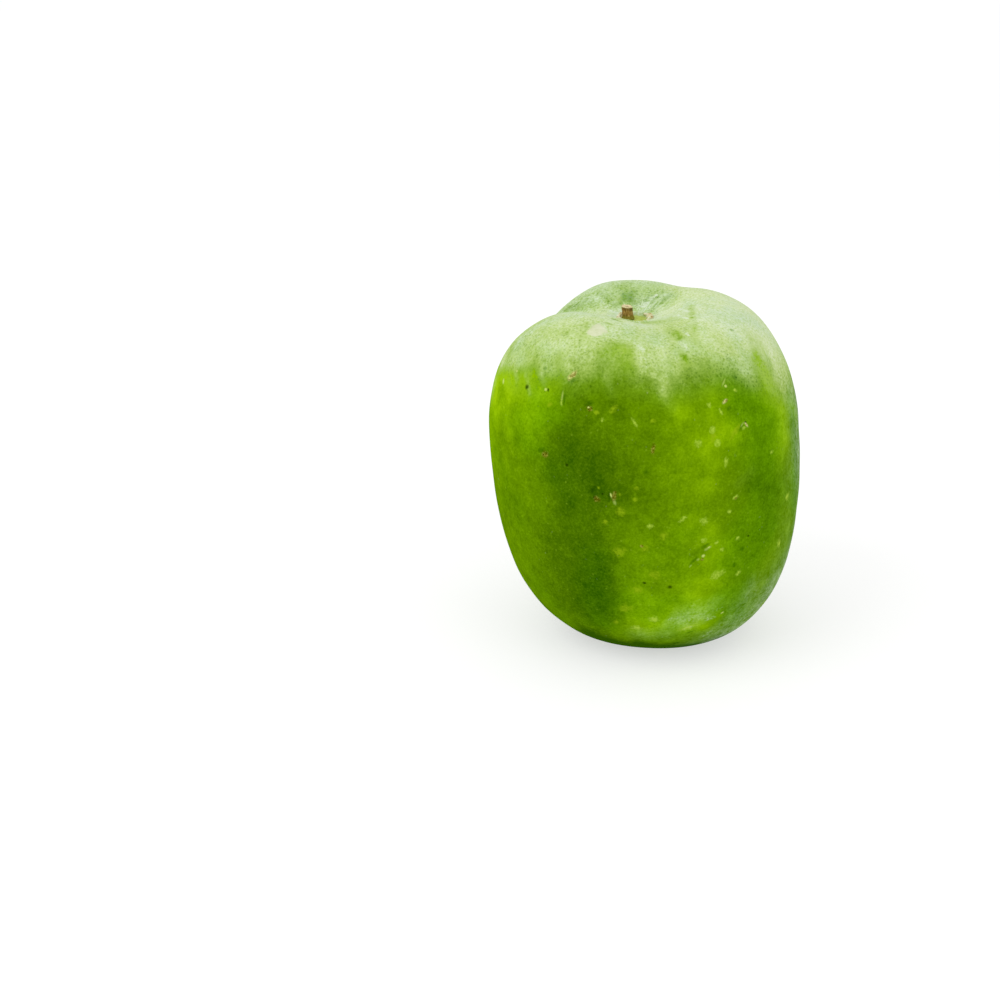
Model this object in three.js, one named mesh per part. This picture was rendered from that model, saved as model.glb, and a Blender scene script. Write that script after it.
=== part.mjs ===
// Ash gourd: one whole fruit and the dry stub of its stem, standing on the flat spot at its blossom end.
// Millimetres, +Z up, with the front towards -Y. The origin is the middle of the bounding box, on the
// surface that the gourd stands on. Angles are degrees, counted from +X towards +Y.
import * as THREE from 'three';

// Driving dimensions of the fruit
const HALF_WIDTH = 111; // radius of the widest section, before its lobes and grooves
const BELLY_HEIGHT = 133; // height of the widest section
const SHOULDER_HEIGHT = 249; // height that the top would reach if it had no stem hollow
const HOLLOW_HEIGHT = 227; // height of the bottom of the stem hollow
const UPPER_FULLNESS = 2.75; // exponent of the upper profile: 2 is an ellipse, more is squarer
const LOWER_FULLNESS = 3.15; // the same for the lower profile
const LOWER_TAPER = 0.105; // share of its width that the body loses between belly and base
const LEAN = -0.068; // sideways travel of the body for each millimetre of height

// Flat spot that the fruit stands on, and the dimple where the blossom was
const FLAT_SPOT_CUT = 3; // depth of the rounded end that the flat spot takes away
const FLAT_SPOT_BLEND = 1; // half height over which the flat spot turns into the side
const BLOSSOM_RADIUS = 13;
const BLOSSOM_DEPTH = 3;

// Stem hollow, with the corky socket that the stem stood in
const HOLLOW_WIDTH = 34; // distance over which the hollow rises to the shoulders
const HOLLOW_BACK_WIDTH = -3; // what the hollow gains in width at the back, and loses at the front
const HOLLOW_FLOOR = 10; // radius of the level ground round the socket
const HOLLOW_STEEPNESS = 1.5;
const HOLLOW_SHIFT = new THREE.Vector2(2, 1); // how far the hollow sits off the axis of the body
const HOLLOW_SHIFT_REACH = 60;
const SOCKET_RADIUS = 9.6;
const SOCKET_DEPTH = 1.5;
const SOCKET_WALL = 1.4; // width of the sloping wall between floor and rim
const RIM_RADIUS = 11.2;
const RIM_WIDTH = 1.5;
const RIM_HEIGHT = 0.8;

// Three lobes with grooves between them, and two fuller places. Each has its azimuth, its half width in
// degrees, what it adds to the shoulder height and what it adds to the radius at the belly.
const SWELLINGS = [
  { azimuth: 20, spread: 50, shoulder: 4.5, belly: 2.2 }, // right lobe
  { azimuth: 52, spread: 20, shoulder: -2.5, belly: -5 }, // groove at the back right
  { azimuth: 128, spread: 30, shoulder: 1, belly: 1 }, // back lobe
  { azimuth: 157, spread: 33, shoulder: -20, belly: -15 }, // deep groove at the left
  { azimuth: 205, spread: 28, shoulder: -3.2, belly: -2.5 }, // foot of that groove
  { azimuth: 235, spread: 39, shoulder: 5, belly: 0 }, // front left lobe
  { azimuth: 291, spread: 20, shoulder: -6, belly: 1.5 }, // shallow groove at the front
  { azimuth: 321, spread: 27, shoulder: 1.5, belly: 4.7 }, // front of the right lobe
];
const SWELLING_REACH = 60; // radius within which the belly swellings die away towards the poles

// Dry stem stub: five ribs, a flared foot, and a cut top that is dished over the pith
const STUB_OFFSET = -4.4; // sideways place of the stub in its socket
const STUB_LEAN = -0.1; // sideways travel for each millimetre of height
const STUB_RIBS = 5;
const STUB_RIB_DEPTH = 0.1; // share of the radius
const STUB_TWIST = 1.6; // degrees that the ribs turn in each millimetre of height
const STUB_CUT_SLOPE = 0.06; // fall of the cut top towards +X
const STUB_PROFILE = [ // radius and height above the foot
  [2.2, 0], [4.2, 0], [4.3, 0.7], [4, 1.8], [3.7, 3.4], [3.6, 5.4], [3.7, 7.6], [3.8, 8.8],
  [3.5, 9.3], [2.5, 9.1], [1.3, 8.5],
];
const TOUCHING_GAP = 0.3; // clearance between the stub and the floor of its socket

// Fineness of the two meshes
const FRUIT_SEGMENTS = 84;
const LOWER_RINGS = 22;
const UPPER_RINGS = 24;
const RING_CROWDING = 1.45; // more than 1 draws the rings together towards the poles
const SOCKET_RINGS = [0.5, 1, 1.07, 1.15, 1.24, 1.38]; // ring radii, as shares of the socket's radius
const STUB_SEGMENTS = 30;

const { degToRad, euclideanModulo, smoothstep } = THREE.MathUtils;

function bell(distance, width) {
  return Math.exp(-((distance / width) ** 2));
}

// Sums one property of all the swellings at an azimuth.
function swelling(azimuth, property) {
  let sum = 0;
  for (const place of SWELLINGS) {
    const away = euclideanModulo(azimuth - place.azimuth + 180, 360) - 180;
    sum += place[property] * bell(away, place.spread);
  }
  return sum;
}

// How far the stem hollow, its socket and the socket's rim lower the top at a radius.
function hollowDepth(azimuth, radius, shoulderHeight) {
  const width = HOLLOW_WIDTH + HOLLOW_BACK_WIDTH * Math.sin(degToRad(azimuth));
  const beyondFloor = Math.max(radius - HOLLOW_FLOOR, 0);
  const hollow = Math.exp(-((beyondFloor / width) ** HOLLOW_STEEPNESS));
  const socket = 1 - smoothstep(radius, SOCKET_RADIUS, SOCKET_RADIUS + SOCKET_WALL);
  const rim = bell(radius - RIM_RADIUS, RIM_WIDTH);
  return (shoulderHeight - HOLLOW_HEIGHT) * hollow + SOCKET_DEPTH * socket - RIM_HEIGHT * rim;
}

// Cuts the rounded end off level at height 0, with a smooth turn into the side.
function standLevel(height) {
  if (height <= -FLAT_SPOT_BLEND) {
    return 0;
  }
  if (height >= FLAT_SPOT_BLEND) {
    return height;
  }
  return (height + FLAT_SPOT_BLEND) ** 2 / (4 * FLAT_SPOT_BLEND);
}

// A point of the skin. The latitude runs from -PI/2 at the blossom end to PI/2 at the stem.
function skinPoint(azimuth, latitude) {
  const isUpper = latitude > 0;
  const fullness = isUpper ? UPPER_FULLNESS : LOWER_FULLNESS;
  const shoulderHeight = SHOULDER_HEIGHT + swelling(azimuth, 'shoulder');
  let radius = HALF_WIDTH * Math.abs(Math.cos(latitude)) ** (2 / fullness);
  const rise = Math.abs(Math.sin(latitude)) ** (2 / fullness);
  let height;
  let shift = 0;
  if (isUpper) {
    height = BELLY_HEIGHT + (shoulderHeight - BELLY_HEIGHT) * rise;
    height -= hollowDepth(azimuth, radius, shoulderHeight);
    shift = Math.max(1 - (radius / HOLLOW_SHIFT_REACH) ** 2, 0) ** 2;
  } else {
    height = BELLY_HEIGHT - (BELLY_HEIGHT + FLAT_SPOT_CUT) * rise;
    const below = Math.min(1 - height / BELLY_HEIGHT, 1);
    radius *= 1 - LOWER_TAPER * below ** 1.5;
    const dimple = Math.max(1 - (radius / BLOSSOM_RADIUS) ** 2, 0) ** 2;
    height = standLevel(height) + BLOSSOM_DEPTH * dimple;
  }
  const reach = radius + swelling(azimuth, 'belly') * smoothstep(radius, 0, SWELLING_REACH);
  const angle = degToRad(azimuth);
  return new THREE.Vector3(
    reach * Math.cos(angle) + shift * HOLLOW_SHIFT.x + LEAN * height,
    reach * Math.sin(angle) + shift * HOLLOW_SHIFT.y,
    height,
  );
}

// Latitude at which the upper profile has a given radius
function upperLatitude(radius) {
  return Math.acos((radius / HALF_WIDTH) ** (UPPER_FULLNESS / 2));
}

// Latitudes of the fruit's rings from the blossom end to the stem, without the two poles
function fruitLatitudes() {
  const latitudes = [];
  for (let ring = 1; ring <= LOWER_RINGS; ring += 1) {
    latitudes.push(-(Math.PI / 2) * (1 - (ring / LOWER_RINGS) ** RING_CROWDING));
  }
  const socketRims = SOCKET_RINGS.map((share) => upperLatitude(share * SOCKET_RADIUS)).reverse();
  const hollowEdge = socketRims[0];
  for (let ring = UPPER_RINGS - 1; ring > 0; ring -= 1) {
    latitudes.push(hollowEdge * (1 - (ring / UPPER_RINGS) ** RING_CROWDING));
  }
  return [...latitudes, ...socketRims];
}

// Closed body through rings of points, from the lowest up, with a single point at each end.
function closedBody(lowestPoint, rings, highestPoint) {
  const segments = rings[0].length;
  const positions = [lowestPoint, ...rings.flat(), highestPoint].flatMap((point) => point.toArray());
  const highest = rings.length * segments + 1;
  const at = (ring, segment) => 1 + ring * segments + (segment % segments);
  const triangles = [];
  for (let segment = 0; segment < segments; segment += 1) {
    triangles.push(0, at(0, segment + 1), at(0, segment));
    for (let ring = 0; ring < rings.length - 1; ring += 1) {
      triangles.push(at(ring, segment), at(ring, segment + 1), at(ring + 1, segment + 1));
      triangles.push(at(ring, segment), at(ring + 1, segment + 1), at(ring + 1, segment));
    }
    triangles.push(highest, at(rings.length - 1, segment), at(rings.length - 1, segment + 1));
  }
  const geometry = new THREE.BufferGeometry();
  geometry.setAttribute('position', new THREE.Float32BufferAttribute(positions, 3));
  geometry.setIndex(triangles);
  geometry.computeVertexNormals();
  return geometry;
}

function fruitGeometry() {
  const rings = fruitLatitudes().map((latitude) => (
    Array.from({ length: FRUIT_SEGMENTS }, (_, segment) => (
      skinPoint((segment * 360) / FRUIT_SEGMENTS, latitude)
    ))
  ));
  return closedBody(skinPoint(0, -Math.PI / 2), rings, skinPoint(0, Math.PI / 2));
}

// A point of the stub, whose foot is at height 0
function stubPoint(azimuth, radius, height) {
  const ribs = 1 + STUB_RIB_DEPTH * Math.cos(degToRad(STUB_RIBS * (azimuth + STUB_TWIST * height)));
  const angle = degToRad(azimuth);
  const x = radius * ribs * Math.cos(angle);
  const y = radius * ribs * Math.sin(angle);
  const tallness = height / STUB_PROFILE.at(-1)[1];
  return new THREE.Vector3(x + STUB_LEAN * height, y, height - STUB_CUT_SLOPE * x * tallness);
}

function stubGeometry() {
  const rings = STUB_PROFILE.map(([radius, height]) => (
    Array.from({ length: STUB_SEGMENTS }, (_, segment) => (
      stubPoint((segment * 360) / STUB_SEGMENTS, radius, height)
    ))
  ));
  const pithHeight = STUB_PROFILE.at(-1)[1];
  return closedBody(stubPoint(0, 0, 0), rings, stubPoint(0, 0, pithHeight));
}

const skinMaterial = new THREE.MeshStandardMaterial({ color: 0x7ba336, roughness: 0.45, metalness: 0 });
const stemMaterial = new THREE.MeshStandardMaterial({ color: 0x86702f, roughness: 0.85, metalness: 0 });

const fruit = new THREE.Mesh(fruitGeometry(), skinMaterial);
fruit.name = 'gourd_fruit';

const stub = new THREE.Mesh(stubGeometry(), stemMaterial);
stub.name = 'stem_stub';
stub.position.copy(skinPoint(0, Math.PI / 2));
stub.position.x += STUB_OFFSET;
stub.position.z += TOUCHING_GAP;

// The group puts the middle of the bounding box over the origin.
const gourd = new THREE.Group();
gourd.add(fruit, stub);
const middle = new THREE.Box3().setFromObject(gourd).getCenter(new THREE.Vector3());
gourd.position.set(-middle.x, -middle.y, 0);

export default gourd;
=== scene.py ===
"""Ash gourd: the looks of the whole fruit and of the dry stub of its stem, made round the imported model.

Lengths are millimetres unless a name says otherwise. They become metres where a mesh is written, and are
metres in the materials.
Azimuths are degrees, counted from +X towards +Y, and the front of the gourd faces -Y.
"""

import math
from functools import partial, reduce

import bpy
import numpy as np
from mathutils import Matrix, Vector
from mathutils.bvhtree import BVHTree


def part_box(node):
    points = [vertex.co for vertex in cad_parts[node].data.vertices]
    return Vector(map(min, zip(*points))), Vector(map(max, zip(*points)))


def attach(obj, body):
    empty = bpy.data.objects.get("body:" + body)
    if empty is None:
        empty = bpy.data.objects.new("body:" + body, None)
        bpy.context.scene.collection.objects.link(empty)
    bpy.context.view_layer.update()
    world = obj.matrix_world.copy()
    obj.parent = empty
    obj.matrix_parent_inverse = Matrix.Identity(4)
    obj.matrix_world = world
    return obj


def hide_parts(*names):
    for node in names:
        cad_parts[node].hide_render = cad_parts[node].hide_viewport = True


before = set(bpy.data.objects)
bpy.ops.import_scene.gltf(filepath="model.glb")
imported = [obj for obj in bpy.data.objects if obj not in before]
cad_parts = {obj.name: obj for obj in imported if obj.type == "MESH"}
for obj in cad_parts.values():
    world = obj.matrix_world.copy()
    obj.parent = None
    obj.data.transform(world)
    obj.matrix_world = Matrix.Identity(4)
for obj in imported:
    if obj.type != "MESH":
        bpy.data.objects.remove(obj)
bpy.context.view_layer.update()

MM = 0.001
FRUIT_NODE = "gourd_fruit"
STUB_NODE = "stem_stub"

# Shape of the fruit, as in the model
HALF_WIDTH = 111.0
BELLY_HEIGHT = 133.0
SHOULDER_HEIGHT = 249.0
HOLLOW_HEIGHT = 227.0
UPPER_FULLNESS = 2.75
LOWER_FULLNESS = 3.15
LOWER_TAPER = 0.105
LEAN = -0.068
FLAT_SPOT_CUT = 3.0
FLAT_SPOT_BLEND = 1.0
BLOSSOM_RADIUS = 13.0
BLOSSOM_DEPTH = 3.0
HOLLOW_WIDTH = 34.0
HOLLOW_BACK_WIDTH = -3.0
HOLLOW_FLOOR = 10.0
HOLLOW_STEEPNESS = 1.5
HOLLOW_SHIFT = (2.0, 1.0)
HOLLOW_SHIFT_REACH = 60.0
SOCKET_RADIUS = 9.6
SOCKET_DEPTH = 1.5
SOCKET_WALL = 1.4
RIM_RADIUS = 11.2
RIM_WIDTH = 1.5
RIM_HEIGHT = 0.8
SWELLING_REACH = 60.0
SWELLINGS = [  # azimuth, half width in degrees, gain in shoulder height, gain in radius at the belly
    (20, 50, 4.5, 2.2),
    (52, 20, -2.5, -5.0),
    (128, 30, 1.0, 1.0),
    (157, 33, -20.0, -15.0),
    (205, 28, -3.2, -2.5),
    (235, 39, 5.0, 0.0),
    (291, 20, -6.0, 1.5),
    (321, 27, 1.5, 4.7),
]

# Fineness of the skin mesh, which has two triangles for each cell
SKIN_SEGMENTS = 360
SKIN_RINGS = 235
SOCKET_RINGS = 34
SOCKET_REACH = 16.0
PATH_STEPS = 20001

# Gentle waves of the skin: how deep they go, and their shortest and longest wavelength
WAVE_COUNT = 14
WAVE_DEPTH = 0.55
WAVE_LENGTHS = (26.0, 85.0)
WAVE_LIMIT = 1.4  # times the depth, which no wave passes
WAVE_RISE = (2.0, 20.0)  # heights over which the waves set in, above the flat spot
SKIN_INSET = 0.1  # keeps the fine skin inside the faceted model


def smooth(value, low=0.0, high=1.0):
    t = np.clip((np.asarray(value, float) - low) / (high - low), 0, 1)
    return t * t * (3 - 2 * t)


def bell(distance, width):
    return np.exp(-((np.asarray(distance, float) / width) ** 2))


def turn_between(azimuth, other):
    return (azimuth - other + 180.0) % 360.0 - 180.0


def swelling(azimuth, column):
    return sum(place[column] * bell(turn_between(azimuth, place[0]), place[1]) for place in SWELLINGS)


def hollow_depth(azimuth, radius, shoulder_height):
    width = HOLLOW_WIDTH + HOLLOW_BACK_WIDTH * np.sin(np.radians(azimuth))
    beyond_floor = np.clip(radius - HOLLOW_FLOOR, 0, None)
    hollow = np.exp(-((beyond_floor / width) ** HOLLOW_STEEPNESS))
    socket = 1 - smooth(radius, SOCKET_RADIUS, SOCKET_RADIUS + SOCKET_WALL)
    rim = bell(radius - RIM_RADIUS, RIM_WIDTH)
    return (shoulder_height - HOLLOW_HEIGHT) * hollow + SOCKET_DEPTH * socket - RIM_HEIGHT * rim


def stand_level(height):
    turn = (height + FLAT_SPOT_BLEND) ** 2 / (4 * FLAT_SPOT_BLEND)
    return np.where(height >= FLAT_SPOT_BLEND, height, np.where(height <= -FLAT_SPOT_BLEND, 0, turn))


def skin_points(azimuth, latitude):
    """Points of the fruit's surface, with the profile radius of each; the latitude is in radians."""
    upper = latitude > 0
    fullness = np.where(upper, UPPER_FULLNESS, LOWER_FULLNESS)
    shoulder_height = SHOULDER_HEIGHT + swelling(azimuth, 2)
    radius = HALF_WIDTH * np.abs(np.cos(latitude)) ** (2 / fullness)
    rise = np.abs(np.sin(latitude)) ** (2 / fullness)
    upper_height = BELLY_HEIGHT + (shoulder_height - BELLY_HEIGHT) * rise
    upper_height = upper_height - hollow_depth(azimuth, radius, shoulder_height)
    lower_height = BELLY_HEIGHT - (BELLY_HEIGHT + FLAT_SPOT_CUT) * rise
    below = np.clip(1 - lower_height / BELLY_HEIGHT, 0, 1)
    radius = np.where(upper, radius, radius * (1 - LOWER_TAPER * below ** 1.5))
    dimple = np.clip(1 - (radius / BLOSSOM_RADIUS) ** 2, 0, 1) ** 2
    lower_height = stand_level(lower_height) + BLOSSOM_DEPTH * dimple
    height = np.where(upper, upper_height, lower_height)
    shift = np.where(upper, np.clip(1 - (radius / HOLLOW_SHIFT_REACH) ** 2, 0, 1) ** 2, 0)
    reach = radius + swelling(azimuth, 3) * smooth(radius, 0, SWELLING_REACH)
    angle = np.radians(azimuth)
    x = reach * np.cos(angle) + shift * HOLLOW_SHIFT[0] + LEAN * height
    y = reach * np.sin(angle) + shift * HOLLOW_SHIFT[1]
    return np.stack([x, y, height], -1), radius


def ring_latitudes():
    """Latitudes of the rings from the blossom end to the stem: evenly spaced, closer in the socket."""
    socket_edge = math.acos((SOCKET_REACH / HALF_WIDTH) ** (UPPER_FULLNESS / 2))
    fine = np.linspace(-math.pi / 2, socket_edge, PATH_STEPS)
    path, _ = skin_points(np.zeros(PATH_STEPS), fine)
    length = np.concatenate([[0], np.cumsum(np.linalg.norm(np.diff(path, axis=0), axis=1))])
    even = np.interp(np.linspace(0, length[-1], SKIN_RINGS), length, fine)
    socket_radii = np.linspace(SOCKET_REACH, 0, SOCKET_RINGS + 1)[1:]
    socket = np.arccos((socket_radii / HALF_WIDTH) ** (UPPER_FULLNESS / 2))
    return np.concatenate([even, socket])


def grid_normals(points):
    """Outward unit normals of a grid of points, rings by segments, closed along the segments."""
    along = np.roll(points, -1, 1) - np.roll(points, 1, 1)
    upward = np.gradient(points, axis=0)
    normals = np.cross(along, upward)
    length = np.linalg.norm(normals, axis=-1, keepdims=True)
    normals = normals / np.maximum(length, 1e-9)
    normals[0] = (0, 0, -1)
    normals[-1] = (0, 0, 1)
    return normals


def waves(points, count, shortest, longest, seed):
    """A smooth pattern between -1 and 1: sines along directions spread by the golden angle."""
    golden_turn = math.pi * (3 - math.sqrt(5))
    golden_share = 0.618
    phase_step = 1.7
    total = np.zeros(points.shape[:-1])
    for number in range(count):
        lift = 1 - 2 * (number + 0.5) / count
        flat = math.sqrt(1 - lift * lift)
        turn = golden_turn * (number + seed)
        direction = np.array([flat * math.cos(turn), flat * math.sin(turn), lift])
        length = shortest * (longest / shortest) ** ((number * golden_share) % 1)
        total += np.sin(2 * math.pi * (points @ direction) / length + phase_step * number + seed)
    return total / math.sqrt(count * 2)


def new_object(name, data):
    thing = bpy.data.objects.new(name, data)
    bpy.context.scene.collection.objects.link(thing)
    return thing


def closed_mesh(name, points, attributes):
    """A closed body through a grid of points whose first and last rings are the two end points."""
    rings, segments = points.shape[:2]
    inner = points[1:-1].reshape(-1, 3)
    coordinates = np.concatenate([points[:1, 0], inner, points[-1:, 0]]) * MM
    last = len(coordinates) - 1

    def vertex(ring, segment):
        return 1 + (ring - 1) * segments + segment % segments

    faces = [(0, vertex(1, s + 1), vertex(1, s)) for s in range(segments)]
    for low in range(1, rings - 2):
        high = low + 1
        for s in range(segments):
            faces.append((vertex(low, s), vertex(low, s + 1), vertex(high, s + 1), vertex(high, s)))
    faces += [(last, vertex(rings - 2, s), vertex(rings - 2, s + 1)) for s in range(segments)]
    mesh = bpy.data.meshes.new(name)
    mesh.from_pydata(coordinates.tolist(), [], faces)
    for label, values in attributes.items():
        flat = np.concatenate([values[:1, 0], values[1:-1].reshape(-1, 3), values[-1:, 0]])
        layer = mesh.attributes.new(label, "FLOAT_VECTOR", "POINT")
        layer.data.foreach_set("vector", flat.astype(np.float32).ravel())
    mesh.shade_smooth()
    return new_object(name, mesh)


# Camera: as far away as puts the body at its size in the photograph, and turned so that the middle of
# the body falls on its pixel. The photograph's frame is 1000 pixels square.
FRAME_PIXELS = 1000
LENS = 70.0
SENSOR = 36.0
MM_PER_PIXEL = 0.707
CAMERA_ELEVATION = 20.0
BODY_MIDDLE = Vector((0.0, 0.8, 121.0))
BODY_MIDDLE_PIXEL = (644.5, 463.0)
FOCAL_PIXELS = LENS / SENSOR * FRAME_PIXELS
AIM_ROUNDS = 20
SIGHT = 60.0  # metres that the camera sees, more than the floor is wide


def make_camera():
    elevation = math.radians(CAMERA_ELEVATION)
    back = Vector((0, -math.cos(elevation), math.sin(elevation)))
    place = BODY_MIDDLE + back * FOCAL_PIXELS * MM_PER_PIXEL
    data = bpy.data.cameras.new("camera")
    data.lens = LENS
    data.sensor_width = SENSOR
    data.clip_end = SIGHT
    camera = new_object("camera", data)
    aim = (BODY_MIDDLE - place).normalized()
    yaw = pitch = 0.0
    for _ in range(AIM_ROUNDS):
        turned = Matrix.Rotation(yaw, 3, "Z") @ Matrix.Rotation(math.pi / 2 - elevation + pitch, 3, "X")
        seen = turned.transposed() @ aim
        yaw += (BODY_MIDDLE_PIXEL[0] - FRAME_PIXELS / 2 + FOCAL_PIXELS * seen.x / seen.z) / FOCAL_PIXELS
        pitch += (BODY_MIDDLE_PIXEL[1] - FRAME_PIXELS / 2 - FOCAL_PIXELS * seen.y / seen.z) / FOCAL_PIXELS
    camera.matrix_world = Matrix.Translation(place * MM) @ turned.to_4x4()
    bpy.context.scene.camera = camera
    return camera


def pixel_ray(camera, x, y):
    """Where the camera stands, in millimetres, and the direction in which it sees a pixel."""
    turned = camera.matrix_world.to_3x3()
    middle = FRAME_PIXELS / 2
    direction = turned @ Vector((x - middle, middle - y, -FOCAL_PIXELS))
    return camera.matrix_world.translation / MM, direction.normalized()


camera = make_camera()


# The bare shape of the skin
azimuths, latitudes = np.meshgrid(
    np.arange(SKIN_SEGMENTS) * 360.0 / SKIN_SEGMENTS, ring_latitudes(), indexing="xy"
)
skin, profile_radius = skin_points(azimuths, latitudes)
fruit_low, fruit_high = (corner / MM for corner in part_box(FRUIT_NODE))
fruit_middle = (fruit_low + fruit_high) / 2
skin_middle = (skin.reshape(-1, 3).min(0) + skin.reshape(-1, 3).max(0)) / 2
skin[..., 0] += fruit_middle.x - skin_middle[0]
skin[..., 1] += fruit_middle.y - skin_middle[1]
normals = grid_normals(skin)
upper_half = latitudes > 0
stem_place = Vector(skin[-1, 0])

wave = waves(skin, WAVE_COUNT, *WAVE_LENGTHS, seed=3)
off_the_floor = smooth(skin[..., 2], *WAVE_RISE)
sunk = SKIN_INSET + WAVE_DEPTH * np.clip(0.5 - 0.5 * wave, 0, WAVE_LIMIT)
skin = skin - normals * (sunk * off_the_floor)[..., None]

# Torn, corky rim of the stem's socket
RIM_ROUGH_RISE = (8.6, 10.6)  # radii over which the cork begins
RIM_ROUGH_FALL = (12.0, 14.5)  # and over which it ends
RIM_TORN_AT = [(8, 44, 1.15), (100, 30, 0.5), (172, 42, 1.0), (270, 60, 0.2)]  # azimuth, spread and share
RIM_CRUMBS = 18  # sines in the crumbling, with their shortest and longest wavelength below
RIM_CRUMB_LENGTHS = (1.6, 7.0)
RIM_CRUMB_HEIGHT = 0.9
RIM_SWELL = 0.1
FLAP_RAGGEDNESS = 0.4
LIP_AZIMUTH = 236.0
LIP_SPREAD = 34.0
LIP_RADIUS = 14.0
LIP_WIDTH = 3.4
LIP_HEIGHT = 1.5
FLAPS = [(164, 17, 10.4, 1.2, 3.2), (2, 30, 10.6, 1.2, 1.7)]  # azimuth, spread, radius, thickness, height
rough_ring = smooth(profile_radius, *RIM_ROUGH_RISE)
rough_ring = rough_ring * (1 - smooth(profile_radius, *RIM_ROUGH_FALL)) * upper_half
rough_ring = rough_ring * sum(share * bell(turn_between(azimuths, turn), spread)
                              for turn, spread, share in RIM_TORN_AT)
crumbs = waves(skin, RIM_CRUMBS, *RIM_CRUMB_LENGTHS, seed=11)
lip = bell(turn_between(azimuths, LIP_AZIMUTH), LIP_SPREAD) * bell(profile_radius - LIP_RADIUS, LIP_WIDTH)
relief = rough_ring * (RIM_CRUMB_HEIGHT * crumbs + RIM_SWELL) + LIP_HEIGHT * lip * upper_half
for turn, spread, radius, thickness, height in FLAPS:
    flap = bell(turn_between(azimuths, turn), spread) * bell(profile_radius - radius, thickness)
    relief = relief + height * (1 + FLAP_RAGGEDNESS * crumbs) * flap * upper_half
skin = skin + normals * relief[..., None]

normals = grid_normals(skin)
grid = np.arange(profile_radius.size).reshape(profile_radius.shape)
beside = np.roll(grid, -1, 1)
quads = np.stack([grid[:-1], beside[:-1], beside[1:], grid[1:]], -1).reshape(-1, 4)
surface = BVHTree.FromPolygons(skin.reshape(-1, 3).tolist(), quads.tolist())


def seen_at(x, y):
    """The point of the skin that the camera sees at a pixel, or else nearest to it, and its normal."""
    start, direction = pixel_ray(camera, x, y)
    point, normal, _, _ = surface.ray_cast(start, direction)
    if point is None:
        offset = skin - np.array(start)
        apart = np.linalg.norm(np.cross(offset, np.array(direction)), axis=-1)
        place = np.unravel_index(np.argmin(apart), apart.shape)
        return skin[place], normals[place]
    return np.array(point), np.array(normal)


def side_at(azimuth, height):
    """The point of the fruit's outside at an azimuth and a height, and its normal."""
    segment = round(azimuth * SKIN_SEGMENTS / 360) % SKIN_SEGMENTS
    ring = np.argmin(np.abs(skin[:, segment, 2] - height))
    return skin[ring, segment], normals[ring, segment]


def patch_field(patches, place=seen_at):
    """Soft patches over the skin: two places between which each runs, its radius and its strength."""
    total = np.zeros(skin.shape[:2])
    for x0, y0, x1, y1, radius, strength in patches:
        start, _ = place(x0, y0)
        end, _ = place(x1, y1)
        run = end - start
        along = np.clip(((skin - start) @ run) / max(run @ run, 1e-9), 0, 1)
        distance = np.linalg.norm(skin - start - along[..., None] * run, axis=-1)
        total += strength * bell(distance, radius)
    return total


# Small dents of the skin, in millimetres deep, drawn by pixel as the patches below
DENTS = [
    (607, 322, 613, 323, 1.7, 0.7), (616, 318.5, 621, 320.5, 1.7, 0.9), (587, 323, 586, 328, 2, 0.4),
    (704, 546, 697, 552, 3, 0.5), (686, 322, 694, 334, 4, 0.5),
]
skin = skin - normals * patch_field(DENTS)[..., None]
normals = grid_normals(skin)


# Lower edge of the wax bloom: where it runs in the photograph, and round the sides that aren't seen, by
# azimuth and height
BLOOM_EDGE_SEEN = [
    (499, 376), (508, 388), (522, 393), (540, 396), (560, 395), (580, 394), (600, 389), (616, 391),
    (630, 395), (645, 397), (660, 404), (680, 401), (700, 395), (716, 391), (734, 389), (750, 393),
    (765, 399), (778, 408), (790, 418),
]
BLOOM_EDGE_BEYOND = [
    (5, 176), (25, 190), (45, 197), (70, 186), (95, 200), (120, 190), (143, 182), (160, 176), (172, 182),
]
BLOOM_FOOT = 5.0  # how far the film still runs below its edge
BLOOM_FADE = 48.0  # height over which it thickens
BLOOM_FULL = 0.86  # its share on the shoulders

# Soft patches: two pixels of the photograph between which the patch runs, its radius in millimetres
# and its strength. Those of the sides that aren't seen have azimuths and heights in place of pixels.

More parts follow.
